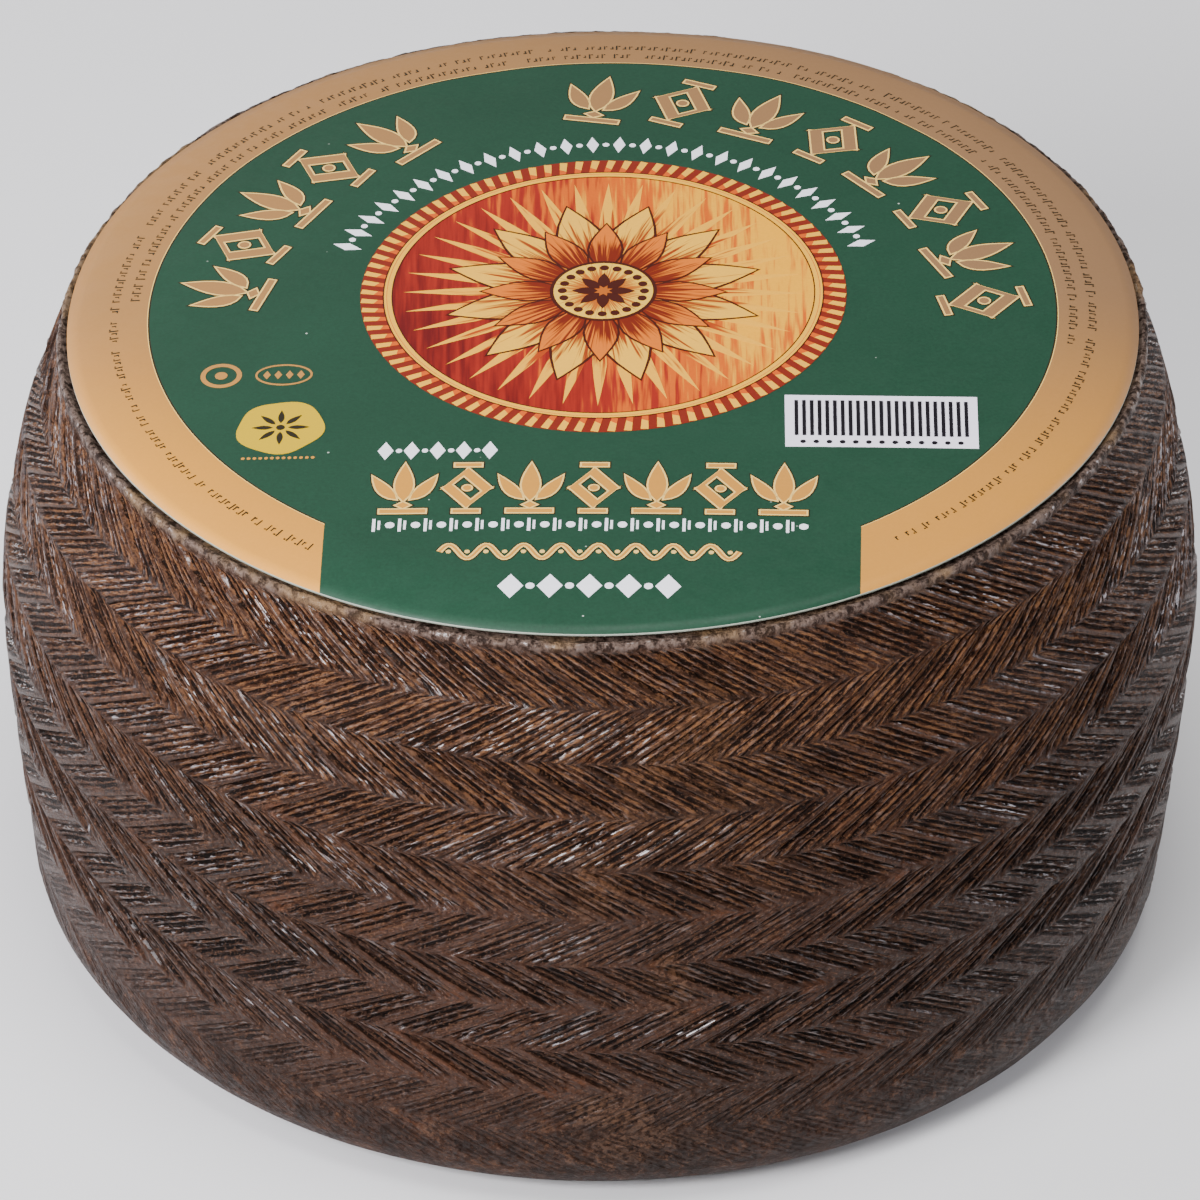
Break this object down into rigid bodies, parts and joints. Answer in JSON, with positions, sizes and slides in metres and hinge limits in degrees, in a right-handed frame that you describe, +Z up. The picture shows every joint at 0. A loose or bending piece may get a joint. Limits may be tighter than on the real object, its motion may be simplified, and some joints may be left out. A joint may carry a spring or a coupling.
{
  "type": "cheese wheel",
  "caption": "Whole aged cheese wheel with a dark plaited rind, a domed top and a thin round paper label.",
  "frame": {"origin": "centre of the flat base that the wheel rests on", "axes": "+Z up through the wheel, -Y the side from which the label reads, +X to the right of it"},
  "size_m": [0.1946, 0.1952, 0.1117],
  "materials": {
    "rind": "semi-gloss aged rind",
    "label": "satin printed paper"
  },
  "bodies": {
    "root": {"cheese": "rind", "label": "label"}
  },
  "joints": []
}
